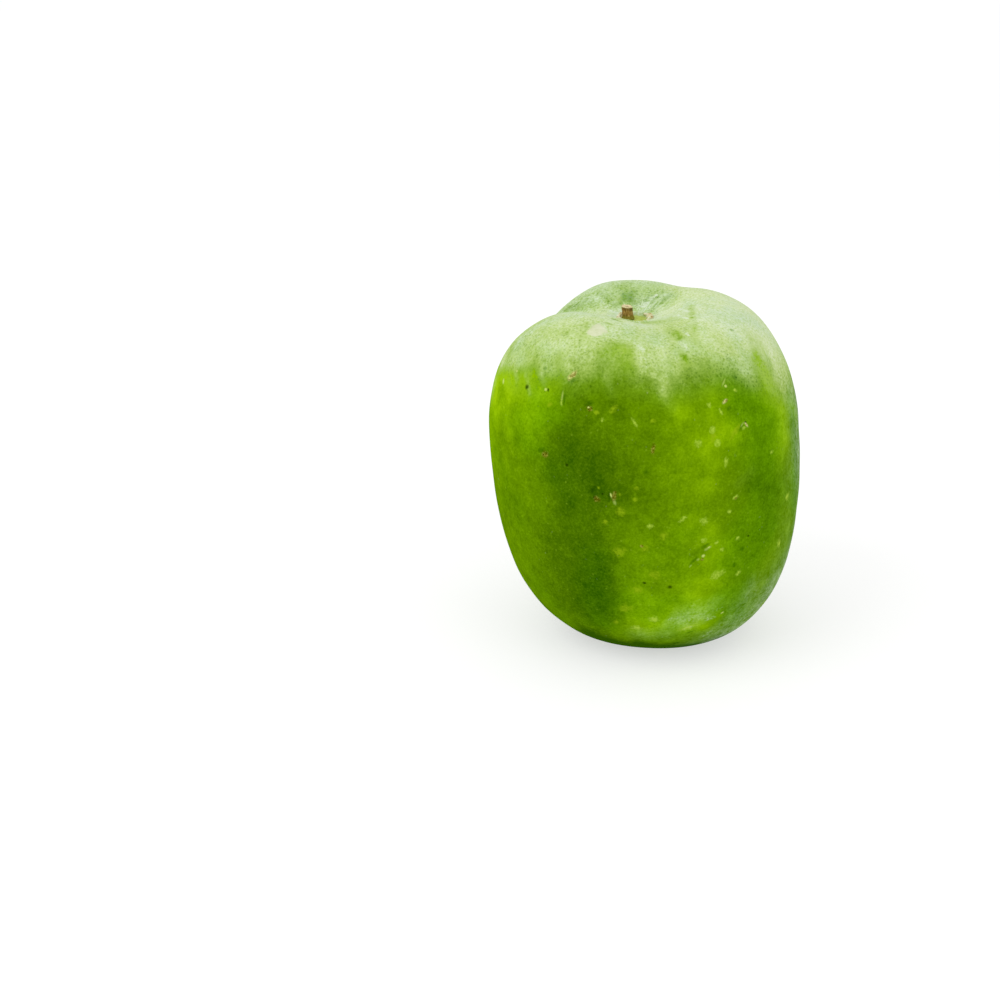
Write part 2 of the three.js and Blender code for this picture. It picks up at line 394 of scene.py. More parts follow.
# Thicker and thinner bloom; some thinner patches, in the stem hollow and under its front lip, are painted
# shade
BLOOM_AND_SHADE_PATCHES = [
    (606, 376, 613, 396, 3, 0.1), (660, 348, 664, 388, 4, 0.12), (664, 394, 672, 408, 4, 0.12),
    (651, 356, 653, 376, 2.5, 0.12), (676, 354, 676, 372, 3, 0.08), (541, 374, 545, 386, 2.5, 0.16),
    (526, 376, 530, 394, 2.2, 0.2), (515, 370, 517, 380, 2, 0.1), (556, 345, 572, 368, 8, 0.1),
    (620, 322, 644, 325, 9, 0.2), (636, 342, 640, 370, 5, 0.1), (700, 334, 716, 350, 6, 0.14),
    (728, 362, 745, 376, 8, 0.08), (732, 300, 746, 322, 14, 0.06), (744, 326, 762, 372, 12, -0.06),
    (506, 344, 503, 362, 7, 0.24), (502, 364, 513, 361, 6, 0.13), (563, 356, 574, 362, 8, -0.14),
    (528, 382, 554, 386, 8, -0.12), (508, 378, 516, 384, 6, 0.05), (664, 388, 668, 398, 6, 0.05),
    (516, 358, 526, 362, 6, 0.05), (508, 374, 524, 378, 5, -0.1), (530, 362, 540, 358, 8, -0.08),
    (540, 322, 590, 321, 10, -0.12), (530, 333, 578, 331, 10, -0.16), (684, 345, 692, 352, 5, 0.14),
    (560, 366, 590, 370, 8, 0.06), (742, 362, 752, 380, 7, 0.1), (738, 484, 752, 470, 4, 0.08),
    (646, 310, 668, 293, 2, 0.22), (592, 296, 603, 303, 2, 0.22), (606, 348, 626, 350, 6, -0.1),
    (608, 356, 624, 366, 6, -0.06), (600, 362, 600, 378, 4, -0.04), (672, 334, 694, 330, 6, -0.08),
    (756, 344, 768, 370, 8, -0.08), (562, 332, 566, 334, 3, -0.14), (528, 346, 532, 350, 5, -0.1),
    (622, 286, 628, 283, 3.4, -0.06), (574, 304, 600, 292, 17, -0.22), (568, 311, 612, 303, 9, -0.22),
    (630, 288, 652, 288, 15, -0.2), (632, 298, 668, 294, 9, -0.24), (582, 300, 604, 296, 8, -0.1),
    (612, 311, 634, 316, 5, 0.2), (650, 305, 668, 298, 8, -0.16), (640, 305, 668, 304, 6, -0.14),
    (608, 309, 613, 311, 4, -0.18), (680, 294, 686, 298, 7, -0.06), (620, 345, 631, 352, 5.5, -0.1),
    (628, 364, 634, 371, 4, -0.1), (545, 370, 552, 372, 4, 0.08), (640, 347, 643, 372, 2.2, 0.14),
    (614, 319, 621, 321.5, 2, -0.28),
]

# Strokes that rub the bloom off; those along the dents under the stem hollow's front lip are painted shade
# in its creases
STROKES = [
    (671, 329, 681, 339, 6, 0.45), (676, 334, 679, 337, 2.6, 0.3), (691, 306, 692, 317, 3.4, 0.75),
    (693, 318, 695, 327, 3.4, 0.42), (695, 332, 697, 342, 3.4, 0.4), (683, 356, 688, 362, 3.8, 0.4),
    (679, 350, 684, 356, 3, 0.3), (750, 338, 757, 360, 6, 0.42), (757, 360, 768, 374, 7, 0.3),
    (761, 344, 771, 364, 6.5, 0.5), (558, 352, 561, 376, 4.6, 0.36), (533, 366, 535, 378, 2.6, 0.4),
    (546, 378, 548, 392, 3.4, 0.3), (536, 370, 538, 388, 3.4, 0.3), (512, 374, 514, 386, 3.4, 0.4),
    (621, 304, 624, 296, 2.6, 0.5), (623, 298, 627, 287, 2.4, 0.35), (629, 300, 632, 290, 1.8, 0.25),
    (614, 305, 616, 308, 2.6, 0.4), (636, 291, 640, 285, 3.4, 0.4), (632, 303, 634, 297, 2.4, 0.18),
    (652, 303, 668, 297, 4.6, 0.28), (614, 319, 621, 321.5, 2.4, 0.9), (607, 322.5, 612, 324.5, 2.4, 0.85),
    (580, 336, 584, 338, 3.6, 0.3), (587, 322, 586, 327, 2.2, 0.45), (740, 305, 741, 306, 2.2, 0.4),
]

# Lighter and darker green of the skin, and painted shade: a cast shadow at the lower left, contact shade
# at the bottom edge
TONE_PATCHES = [
    (606, 350, 630, 358, 9, 0.34), (560, 358, 561, 364, 5, 0.2), (676, 334, 697, 330, 8, 0.26),
    (684, 356, 686, 362, 5, 0.2), (752, 350, 768, 376, 8, 0.42), (742, 346, 768, 384, 12, 0.2),
    (692, 312, 695, 328, 5, 0.16), (514, 362, 530, 350, 7, 0.16), (516, 376, 554, 384, 9, 0.18),
    (502, 366, 506, 378, 6, 0.3), (499, 368, 497, 405, 15, 0.34), (507, 374, 510, 390, 6, 0.24),
    (507, 392, 509, 430, 6, 0.16), (520, 392, 530, 418, 13, 0.26), (545, 398, 555, 418, 10, 0.18),
    (570, 430, 575, 470, 17, -0.22), (548, 470, 566, 500, 12, -0.22), (588, 470, 596, 500, 11, -0.16),
    (610, 450, 620, 480, 16, -0.16), (610, 404, 622, 412, 8, -0.1), (572, 530, 588, 610, 26, -0.16),
    (598, 545, 600, 605, 12, -0.14), (552, 545, 566, 600, 22, -0.14), (687, 415, 700, 445, 11, 0.17),
    (712, 396, 716, 440, 8, 0.26), (700, 460, 702, 520, 12, 0.08), (690, 540, 704, 604, 18, 0.12),
    (714, 530, 718, 575, 11, 0.14), (640, 602, 690, 606, 16, 0.2), (640, 622, 700, 624, 11, 0.3),
    (728, 390, 732, 400, 7, 0.1), (648, 440, 650, 460, 8, -0.1), (602, 562, 610, 596, 10, -0.1),
    (683, 552, 684, 560, 7, -0.08), (712, 546, 716, 564, 8, 0.08), (712, 466, 714, 484, 8, 0.1),
    (736, 424, 748, 428, 8, 0.1), (776, 444, 780, 462, 9, 0.12), (792, 403, 796, 414, 8, 0.28),
    (788, 442, 792, 475, 8, 0.12), (766, 488, 768, 512, 9, -0.08), (664, 570, 666, 594, 8, -0.08),
    (694, 557, 704, 550, 4, -0.16), (592, 634, 604, 640, 11, -0.42), (612, 642, 640, 645, 6, -0.16),
    (640, 643, 690, 645, 5, -0.24), (750, 478, 762, 490, 8, -0.14), (780, 396, 784, 436, 11, 0.3),
    (768, 404, 788, 408, 12, 0.16), (664, 456, 690, 480, 14, 0.1), (692, 588, 706, 604, 10, 0.1),
    (728, 426, 732, 436, 7, 0.18), (668, 398, 680, 414, 7, 0.14), (728, 545, 760, 556, 12, 0.05),
    (726, 440, 744, 448, 8, 0.08), (566, 450, 568, 462, 7, -0.1), (598, 486, 606, 494, 5, -0.12),
    (616, 629, 650, 633, 8, 0.18), (618, 346, 633, 348, 5, 0.16), (520, 373, 562, 375, 5, 0.11),
    (620, 300, 626, 288, 4, 0.2),
]
TONE_BEYOND = [
    (190, 190, 190, 150, 26, 0.22), (150, 120, 160, 60, 34, 0.16), (112, 150, 115, 100, 28, -0.16),
    (80, 90, 70, 50, 30, 0.18), (62, 165, 50, 140, 22, 0.14), (36, 110, 30, 70, 26, -0.16),
    (130, 60, 120, 30, 24, -0.12), (172, 90, 176, 50, 26, -0.1), (92, 175, 88, 160, 16, 0.12),
]
CONTACT_SHADE_HEIGHTS = (4.0, 24.0)  # the painted contact shade, a dark ring near the floor, ends over these heights
CONTACT_SHADE_RADII = (6.0, 66.0)  # and sets in over these radii
CONTACT_SHADE_DARKNESS = 0.52

# Bluer and yellower green
COOL_PATCHES = [
    (648, 306, 668, 299, 8, 0.5), (572, 302, 600, 290, 26, 1), (620, 288, 655, 284, 24, 0.9),
    (728, 600, 740, 616, 12, 0.5), (560, 335, 625, 352, 14, -0.7), (535, 400, 560, 420, 14, 0.4),
    (735, 376, 745, 404, 14, 0.8), (765, 420, 768, 520, 18, 0.8), (790, 400, 794, 500, 10, 0.6),
    (735, 530, 720, 560, 12, 0.4), (750, 560, 735, 600, 16, 0.5), (620, 605, 700, 612, 20, 0.4),
    (555, 470, 575, 500, 16, 0.4), (598, 560, 600, 620, 12, 0.7), (520, 430, 530, 440, 14, 0.3),
    (620, 445, 645, 470, 20, -0.7), (690, 430, 700, 470, 14, -0.3), (620, 300, 626, 288, 4, -0.9),
]

# Bare cream where the skin has healed
CREAM_PATCHES = [
    (590, 333, 595, 334.6, 2.3, 0.8), (592, 330, 597, 325, 3.2, 0.7), (598, 332, 601, 329, 3.8, 0.5),
    (601, 333, 606, 333, 3.2, 0.34), (604, 328, 610, 331, 5, 0.2),
]

# Thin bluish film, which runs down one side and lies here and there below; along the outlines it is partly
# painted sheen, a grazing reflection of the white surroundings
HAZE_AND_SHEEN_PATCHES = [
    (796, 402, 784, 570, 24, 0.09), (798, 410, 799, 455, 18, 0.07), (780, 582, 735, 628, 24, 0.1),
    (752, 586, 748, 596, 7, 0.03), (774, 578, 768, 590, 6, 0.03), (738, 630, 724, 635, 9, 0.06),
    (686, 620, 704, 616, 6, 0.045), (710, 606, 714, 603, 5, 0.02), (708, 626, 718, 618, 7, -0.02),
    (674, 621, 694, 615, 8, 0.045), (648, 618, 660, 616, 7, -0.03), (640, 634, 665, 634, 7, 0.02),
    (499, 350, 494, 382, 9, 0.08), (796, 490, 791, 535, 14, -0.03), (768, 590, 760, 606, 8, 0.03),
    (640, 302, 672, 294, 9, 0.13), (650, 306, 664, 305, 5, 0.06), (566, 307, 592, 298, 12, 0.15),
    (606, 284, 652, 281, 10, 0.05), (612, 302, 628, 292, 7, 0.08), (604, 328, 614, 333, 7, 0.16),
    (520, 340, 542, 324, 5, 0.12), (518, 343, 530, 333, 6, 0.09), (568, 340, 576, 350, 7, 0.05),
    (536, 328, 612, 320, 14, 0.055), (574, 354, 606, 354, 9, 0.03),
]
HAZE_AND_SHEEN_BEYOND = [
    (60, 60, 50, 34, 20, 0.06), (125, 42, 105, 26, 20, 0.06), (165, 150, 160, 112, 16, 0.04),
]

# Whitish flaky wax
FROST_PATCHES = [
    (635, 307, 643, 307, 2.4, 0.6), (643, 303, 652, 309, 3, 0.6), (645, 306, 656, 295, 1.5, 0.7),
    (655, 297, 665, 288, 1.4, 0.6), (641, 303, 652, 290, 1.6, 0.4), (603, 308, 609, 306, 2.4, 0.7),
    (612, 312, 617, 313, 1.8, 0.3), (597, 298, 603, 304, 1.6, 0.5), (679, 309, 683, 309.5, 1.6, 1.5),
    (685, 310.5, 688, 311.5, 1.6, 1.5), (677, 315, 680, 316, 1.6, 1.4), (683, 317, 687, 318.5, 1.6, 1.5),
    (697, 304, 700, 311, 2, 0.9), (703, 317, 706, 316, 2, 1.2), (697, 320, 701, 326, 1.8, 0.7),
    (683, 331, 688, 335, 1.8, 0.9), (637, 343, 641, 349, 2.8, 0.8), (643, 350, 646, 368, 1.8, 0.6),
    (662, 338, 668, 344, 2.4, 0.6), (682, 343, 688, 349, 3, 0.8), (664, 368, 668, 384, 2, 0.4),
    (682, 629, 691, 627, 2.6, 0.4), (706, 619.5, 716, 617, 2, 0.7), (718, 625, 722, 624, 2.4, 0.5),
    (716, 611, 722, 607, 1.8, 0.5), (668, 619, 682, 614, 4, 0.35), (693, 606, 701, 599, 2.4, 0.4),
    (661, 637, 664, 636.6, 1.8, 0.6), (704, 636, 712, 631, 3, 0.4), (714, 312, 742, 318, 6, 0.4),
    (746, 362, 751, 372, 2.2, 0.4), (576, 352, 592, 348, 5, 0.3),
]


def nearest_vertex(point):
    apart = np.linalg.norm(skin - point, axis=-1)
    return np.unravel_index(np.argmin(apart), apart.shape)


def bloom_edge():
    """Height of the bloom's lower edge at each azimuth of the grid."""
    line = list(BLOOM_EDGE_BEYOND)
    for x, y in BLOOM_EDGE_SEEN:
        ring, segment = nearest_vertex(seen_at(x, y)[0])
        line.append((azimuths[ring, segment], skin[ring, segment, 2]))
    line.sort()
    turns, heights = zip(*line)
    return np.interp(azimuths, turns, heights, period=360)


def bloom_field():
    """How thick the wax bloom lies over the shoulders, thinned in places as painted shade in the stem
    hollow.
    """
    edge = bloom_edge()
    shoulders = BLOOM_FULL * np.clip((skin[..., 2] - edge + BLOOM_FOOT) / BLOOM_FADE, 0, 1)
    return np.where(upper_half, shoulders, 0.0) + patch_field(BLOOM_AND_SHADE_PATCHES)


def tone_field():
    """How much lighter or darker the green is than elsewhere, with painted contact shade: darker close to
    the floor.
    """
    # painted contact shade: darker in a ring near the floor
    contact_shade = (1 - smooth(skin[..., 2], *CONTACT_SHADE_HEIGHTS)) * smooth(profile_radius, *CONTACT_SHADE_RADII)
    tone = patch_field(TONE_PATCHES) + patch_field(TONE_BEYOND, side_at)
    return tone - CONTACT_SHADE_DARKNESS * contact_shade


# Marks of the skin, by the pixel where each is seen: x, y, length and width in millimetres, and the
# angle of its length in the picture, in degrees counted from the right upwards. A round mark gives only
# its length, and one that lies level has no angle.
MARKS = {
    # The shade marks are darker green patches, partly the skin's own and partly painted shade beside
    # raised marks and dents
    "shade": [
        (573, 380.5, 8, 3, 25), (590, 403.5, 6.5, 4.5), (564.5, 399, 10, 2, 84),
        (541, 450, 7, 4, 30), (706, 545.8, 8, 2.4, 28), (693, 561.5, 9, 2.6, 50),
        (690, 632, 10, 2.2, 20), (676, 643, 9, 3.4), (609, 497, 9, 2.2, 95),
        (593, 489.5, 7, 4.5, 50), (646, 472.5, 5.5), (741, 428, 8, 4, 30),
        (729, 408, 5, 3, 40), (742, 549, 5, 4), (735, 377, 4.5),
        (734, 565, 4), (732, 330, 4, 3), (545, 368.5, 4, 3),
    ],
    "spot": [
        (621, 511.5, 8, 7), (605, 522, 3.4), (664, 536, 5.5),
        (619, 551.5, 8, 7), (654.5, 575, 7.5, 6.5), (625, 608, 9, 8),
        (637, 590, 7.5, 5.5), (636, 488.5, 4, 3.5), (598.8, 487.7, 2.4),
        (620, 494.5, 2.4), (616, 622, 4.5), (596.5, 412.5, 5, 2.6, -12),
        (613.5, 409, 8.5, 3, 48), (645, 548.5, 5.5, 4), (653, 421, 4, 3),
        (635, 499.5, 4, 3.5), (549.5, 405, 3.6, 2.6, 35), (735, 432, 13, 3.6, 50),
        (713, 437, 7, 4, 80),
    ],
    "dot": [
        (561.3, 402.5, 5, 1.9, 92), (602.3, 420, 2.3), (634.5, 422.5, 7, 1.8, -60),
        (709.4, 405, 3), (721, 411.5, 8, 1.8, -65), (735, 390, 3, 2.6),
        (743.8, 427.8, 3, 2.4), (698.3, 443.5, 5), (717.5, 443, 6.5, 5, -50),
        (712.3, 430, 9, 4, 75), (771.7, 451.7, 3.2, 3), (725.8, 461.7, 3.2, 5.4),
        (683, 519, 7, 2.4, 40), (704.2, 520.8, 5.5, 5), (650, 526, 4.5, 3.5),
        (729.2, 511.7, 3), (735.5, 497.5, 4.4, 3, 20), (703.8, 540.4, 4),
        (716.4, 542.7, 6, 3.4, 25), (722, 549.5, 6, 4.5), (737.5, 538.3, 3.2),
        (779, 543, 5, 7), (787, 496.5, 5.5, 4.5, 30), (717.5, 574.5, 10, 6, 20),
        (738.3, 573, 3, 5, -40), (654, 619.5, 7, 6), (686.5, 628.3, 12, 4.6, 18),
        (637, 628, 8, 4.5),
    ],
    "pit": [
        (527, 387, 4.4, 3.6), (567, 465, 2.6), (670, 587, 3.6, 3.4),
        (644.5, 583, 3, 1.8, -30), (748.3, 535.8, 2.2, 1.8), (594.6, 497.5, 2.4, 2.6),
        (602.8, 494, 2), (548.3, 390, 1.5, 2.8), (745.6, 422, 2, 1.6),
    ],
    "scratch": [
        (562.4, 395.5, 7, 1.5, 82), (708, 548.4, 7.5, 2, 27), (698, 559.5, 7.5, 1.8, 20),
        (614.5, 502, 5, 2.2, -72), (690.5, 566, 6, 1.4, 55), (622, 353, 3.6, 1.3, 60),
        (723.7, 382, 6, 1.5, 65), (557, 340, 5, 1.4, -40), (742.3, 424.4, 4.4, 1.4, 52),
    ],
    "wound": [
        (590, 409, 5.6, 4.2, -35), (545, 454.5, 6.6, 5.2, 20), (597, 499, 5, 4.6, -70),
        (614, 496, 8, 3.8, 82), (735.8, 498, 2.6, 1.8, 30), (641.5, 546, 3, 2.6),
        (653, 449, 8, 3.4, 80), (702.5, 559.4, 3.6, 1.8),
    ],
    "scar": [
        (572, 375.5, 9, 4.4, 35), (725.1, 401.2, 5.6, 2.6, 40), (746.3, 424.6, 5, 1.9, -42),
    ],
    "bead": [
        (545.8, 389.5, 2.6, 2.4), (503.4, 381.3, 3, 4.2), (517, 371, 2.4, 2.2),
        (569.5, 378, 2.4, 2), (725.7, 386, 2.4, 2.2), (703.3, 556, 3.2, 3),
        (611, 495.3, 3.6, 1.5, 108), (709, 547.4, 2.4, 1.4, 27), (588.6, 407.4, 1.8, 1.5),
        (722.3, 612.6, 3.2, 1.8, 30),
    ],
}
MARK_REACH = 13.0  # how far a mark may spread from its middle
MARK_MARGIN = 6.0  # how much further the skin still takes its place from that mark
MARK_SLACK = 2.0  # the reach left is kept between this and its negative
MARK_GAP = 1.5  # what a mark leaves free, half way to the next of its kind
NO_MARK = (9.0, 9.0, -1.0)  # place and reach where no mark is near
RANDOM_MARKS = {  # how many, shortest and longest, and width for each length
    "shade": (16, 3.5, 14, 0.45),
    "spot": (46, 3.5, 9, 0.8),
    "dot": (44, 2, 6, 0.8),
    "pit": (12, 1.8, 4, 0.9),
    "scratch": (9, 4, 10, 0.16),
    "wound": (10, 3, 9, 0.5),
    "scar": (8, 2.4, 7, 0.55),
    "bead": (14, 1.8, 3.2, 0.9),
}
WIDTH_SHARES = (0.8, 1.2)  # of that width, at random
POLE_RINGS = 24  # rings next to each pole without a random mark
SEEN_FROM = 0.12  # cosine of the angle to the line of sight from which the skin counts as seen
random_draw = np.random.default_rng(20)


def picture_frame(normal):
    """Two directions in the skin at a point: to the right in the picture, and up."""
    right = camera.matrix_world.to_3x3() @ Vector((1, 0, 0))
    right = np.array(right) - normal * np.dot(right, normal)
    right = right / np.linalg.norm(right)
    return right, np.cross(normal, right)


def placed_mark(point, normal, length, width=None, angle=0.0):
    width = width or length
    right, up = picture_frame(normal)
    turn = math.radians(angle)
    along = right * math.cos(turn) + up * math.sin(turn)
    across = np.cross(normal, along)
    return {"point": point, "along": along * 2 / length, "across": across * 2 / width}


def hidden_from_camera(point, normal):
    eye = np.array(camera.matrix_world.translation) / MM
    towards_eye = eye - point
    return np.dot(normal, towards_eye / np.linalg.norm(towards_eye)) < SEEN_FROM


def random_marks(kind):
    """Marks on the sides that the photograph doesn't show."""
    count, shortest, longest, slimness = RANDOM_MARKS[kind]
    marks = []
    while len(marks) < count:
        ring = int(random_draw.integers(POLE_RINGS, skin.shape[0] - SOCKET_RINGS - POLE_RINGS))
        segment = int(random_draw.integers(SKIN_SEGMENTS))
        length = shortest + (longest - shortest) * random_draw.random() ** 2
        angle = random_draw.uniform(-90, 90)
        place = skin[ring, segment], normals[ring, segment]
        if not hidden_from_camera(*place):
            continue
        width = length * slimness * random_draw.uniform(*WIDTH_SHARES)
        marks.append(placed_mark(*place, length, width, angle))
    return marks


def mark_layer(kind):
    """Place inside the nearest mark, in half lengths and half widths, and how far its reach goes on."""
    marks = [placed_mark(*seen_at(x, y), *shape) for x, y, *shape in MARKS[kind]]
    marks += random_marks(kind)
    points = np.array([mark["point"] for mark in marks])
    values = np.ones(skin.shape) * NO_MARK
    nearest = np.full(skin.shape[:2], np.inf)
    for number, mark in enumerate(marks):
        others = np.linalg.norm(np.delete(points, number, 0) - mark["point"], axis=-1)
        limit = min(MARK_REACH, others.min() / 2 - MARK_GAP)
        offset = skin - mark["point"]
        distance = np.linalg.norm(offset, axis=-1)
        near = (distance < MARK_REACH + MARK_MARGIN) & (distance < nearest)
        nearest[near] = distance[near]
        values[near, 0] = offset[near] @ mark["along"]
        values[near, 1] = offset[near] @ mark["across"]
        values[near, 2] = np.clip(limit - distance[near], -MARK_SLACK, MARK_SLACK)
    return values


STREAK_LENGTH = 4.0  # times longer than wide
STREAK_GIRTH = 0.8  # share of the body's half width


def streak_place():
    """Place round the stem and down from it, squeezed lengthwise so that a noise in it makes streaks."""
    steps = np.linalg.norm(np.diff(skin, axis=0), axis=-1).mean(1)
    down = np.concatenate([[0], np.cumsum(steps)])
    down = (down[-1] - down)[:, None] * np.ones(SKIN_SEGMENTS)
    angle = np.radians(azimuths)
    girth = HALF_WIDTH * STREAK_GIRTH
    return np.stack([girth * np.cos(angle), girth * np.sin(angle), down / STREAK_LENGTH], -1) * MM


# bluish film, partly painted sheen along the outlines
haze_and_sheen = patch_field(HAZE_AND_SHEEN_PATCHES) + patch_field(HAZE_AND_SHEEN_BEYOND, side_at)
fruit = closed_mesh("gourd_skin", skin, {
    # bloom, tone and coolness; the bloom and tone hold painted shade in places
    "bloom_tone_cool_and_shade": np.stack([bloom_field(), tone_field(), patch_field(COOL_PATCHES)], -1),
    "pale": np.stack([patch_field(CREAM_PATCHES), patch_field(FROST_PATCHES), haze_and_sheen], -1),
    # strokes, some of them painted crease shade under the stem hollow's lip
    "rubbed": np.repeat(patch_field(STROKES)[..., None], 3, -1),
    "round_stem": np.stack([profile_radius * MM, np.where(upper_half, 1, -1), rough_ring], -1),
    "streak": streak_place(),
    **{kind: mark_layer(kind) for kind in MARKS},
})

# Stem stub, as in the model, with finer ribs and torn fibres
STUB_OFFSET = -4.4
TOUCHING_GAP = 0.3
STUB_LEAN = -0.1
STUB_RIBS = 5
STUB_RIB_DEPTH = 0.1
STUB_TWIST = 1.6
STUB_CUT_SLOPE = 0.06
STUB_PROFILE = [
    (0, 0), (2.2, 0), (4.2, 0), (4.3, 0.7), (4.0, 1.8), (3.7, 3.4), (3.6, 5.4), (3.7, 7.6), (3.8, 8.8),
    (3.5, 9.3), (2.5, 9.1), (1.3, 8.5), (0, 8.5),
]
STUB_SEGMENTS = 180
STUB_STEPS = 9  # fine rings between two points of the profile
STUB_SMOOTHING = 5  # rings over which the profile is rounded
STUB_SIDE_HEIGHTS = (0.4, 1.4)  # the side sets in over these heights and radii
STUB_SIDE_RADII = (2.0, 3.1)
STUB_FIBRES = 41
STUB_COARSE_FIBRES = 23
STUB_FIBRE_DEPTH = 0.09
STUB_INSET = 0.25
STUB_TOP_HEIGHTS = (8.0, 8.9)  # the cut top sets in over these heights, its ragged edge over the radii
STUB_RAGGED_RADII = (0.8, 2.0)
STUB_RAGGED_DEPTH = 0.18
STUB_RAGS = 12  # sines in the ragged edge, with their shortest and longest wavelength below
STUB_RAG_LENGTHS = (0.9, 3.2)


def stub_points():
    """Points of the stub's surface, and the radius, the height and the share of the cut top of each."""
    profile = np.array(STUB_PROFILE, float)
    knots = np.arange(len(profile))
    fine = np.linspace(0, len(profile) - 1, (len(profile) - 1) * STUB_STEPS + 1)
    radius = np.interp(fine, knots, profile[:, 0])
    height = np.interp(fine, knots, profile[:, 1])
    kernel = np.ones(STUB_SMOOTHING) / STUB_SMOOTHING
    rounded = slice(STUB_SMOOTHING // 2, -(STUB_SMOOTHING // 2))
    radius[rounded] = np.convolve(radius, kernel, "valid")
    height[rounded] = np.convolve(height, kernel, "valid")
    azimuth, radius = np.meshgrid(np.arange(STUB_SEGMENTS) * 360.0 / STUB_SEGMENTS, radius, indexing="xy")
    height = height[:, None] * np.ones(STUB_SEGMENTS)
    side = smooth(height, *STUB_SIDE_HEIGHTS) * smooth(radius, *STUB_SIDE_RADII)
    ribs = 1 + STUB_RIB_DEPTH * np.cos(np.radians(STUB_RIBS * (azimuth + STUB_TWIST * height)))
    fibres = np.sin(np.radians(STUB_FIBRES * azimuth) + 1.3 * np.sin(height * 0.9))
    fibres = fibres + 0.7 * np.sin(np.radians(STUB_COARSE_FIBRES * azimuth) + 0.8 * height)
    radius_out = radius * ribs - side * (STUB_INSET - STUB_FIBRE_DEPTH * fibres)
    angle = np.radians(azimuth)
    x = radius_out * np.cos(angle)
    y = radius_out * np.sin(angle)
    pith_height = STUB_PROFILE[-1][1]
    points = np.stack([x + STUB_LEAN * height, y, height - STUB_CUT_SLOPE * x * height / pith_height], -1)
    on_top = smooth(height, *STUB_TOP_HEIGHTS)
    ragged = waves(points, STUB_RAGS, *STUB_RAG_LENGTHS, seed=5)
    ragged = ragged * on_top * smooth(radius, *STUB_RAGGED_RADII)
    points[..., 2] -= STUB_RAGGED_DEPTH * np.abs(ragged)
    return points, np.stack([radius * MM, height * MM, on_top], -1)


stub_skin, stub_inner = stub_points()
stub_skin = stub_skin + np.array([stem_place.x + STUB_OFFSET, stem_place.y, stem_place.z + TOUCHING_GAP])
stub = closed_mesh("stem_dry", stub_skin, {"inner": stub_inner})


PAINT_SHARE = 0.86  # the lamps and the sky together are a little brighter than full white


def paint(red, green, blue):
    """A colour as it should look on screen, 0 to 255, as the linear values that shaders take."""
    def linear(value):
        value = value / 255
        return value / 12.92 if value <= 0.04045 else ((value + 0.055) / 1.055) ** 2.4
    return (PAINT_SHARE * linear(red), PAINT_SHARE * linear(green), PAINT_SHARE * linear(blue), 1.0)


class Shader:
    """Short calls for building a node material."""

    def __init__(self, name):
        self.material = bpy.data.materials.new(name)
        self.material.use_nodes = True
        self.tree = self.material.node_tree
        self.surface = next(n for n in self.tree.nodes if n.type == "BSDF_PRINCIPLED")
        self.object_place = self.node("TexCoord").outputs["Object"]

    def node(self, kind, inputs=(), **settings):
        made = self.tree.nodes.new("ShaderNode" + kind)
        for key, value in settings.items():
            setattr(made, key, value)
        for key, value in dict(inputs).items():
            self.put(made.inputs[key], value)
        return made

    def put(self, socket, value):
        if isinstance(value, bpy.types.NodeSocket):
            self.tree.links.new(value, socket)
        else:
            socket.default_value = value

    def dressed(self, inputs):
        """The material, once the inputs of its surface are filled."""
        for name, value in inputs.items():
            self.put(self.surface.inputs[name], value)
        return self.material

    def attribute(self, name):
        return self.node("Attribute", attribute_name=name).outputs["Vector"]

    def split(self, vector):
        return self.node("SeparateXYZ", {0: vector}).outputs

    def maths(self, operation, first, second=0.0):
        return self.node("Math", {0: first, 1: second}, operation=operation).outputs[0]

    def add(self, *values):
        return reduce(partial(self.maths, "ADD"), values)

    def times(self, *values):
        return reduce(partial(self.maths, "MULTIPLY"), values)

    def span(self, value, low, high, to_low=0.0, to_high=1.0, kind="SMOOTHSTEP"):
        inputs = {"Value": value, "From Min": low, "From Max": high, "To Min": to_low, "To Max": to_high}
        return self.node("MapRange", inputs, interpolation_type=kind).outputs[0]

    def noise(self, scale, detail=3.0, roughness=0.55, place=None, distortion=0.0):
        inputs = {
            "Vector": place or self.object_place, "Scale": scale, "Detail": detail,
            "Roughness": roughness, "Distortion": distortion,
        }
        return self.node("TexNoise", inputs).outputs["Fac"]

    def cells(self, scale):
        return self.node("TexVoronoi", {"Vector": self.object_place, "Scale": scale})

    def blend(self, factor, first, second, **settings):
        inputs = {0: factor, 6: first, 7: second}
        return self.node("Mix", inputs, data_type="RGBA", **settings).outputs[2]

    def ramp(self, value, *stops):
        """A colour ramp; each stop is its position and the colour as it should look on screen."""
        made = self.node("ValToRGB", {0: value})
        elements = made.color_ramp.elements
        while len(elements) < len(stops):
            elements.new(1.0)
        for element, (position, *colour) in zip(elements, stops):
            element.position = position
            element.color = paint(*colour)
        return made.outputs["Color"]

    def centred_noise(self, *settings):
        """A noise that swings about 0."""
        return self.maths("SUBTRACT", self.noise(*settings), 0.5)

    def tinted(self, colour, red, green, blue):
        return self.blend(1.0, colour, (red, green, blue, 1.0), blend_type="MULTIPLY")

    def bump(self, height, distance, after=None):
        inputs = {"Height": height, "Distance": distance}
        if after is not None:
            inputs["Normal"] = after
        return self.node("Bump", inputs).outputs["Normal"]


def mark_mask(s, name, inner, outer, ragged, noise_scale):
    """1 inside the marks of a kind and 0 outside; the edge lies between two shares of the half size."""
    x, y, reach = s.split(s.attribute(name))
    distance = s.maths("SQRT", s.add(s.times(x, x), s.times(y, y)))
    distance = s.add(distance, s.times(s.centred_noise(noise_scale, 2), ragged))
    mask = s.span(distance, outer, inner)
    return s.times(mask, s.span(reach, 0, 1))


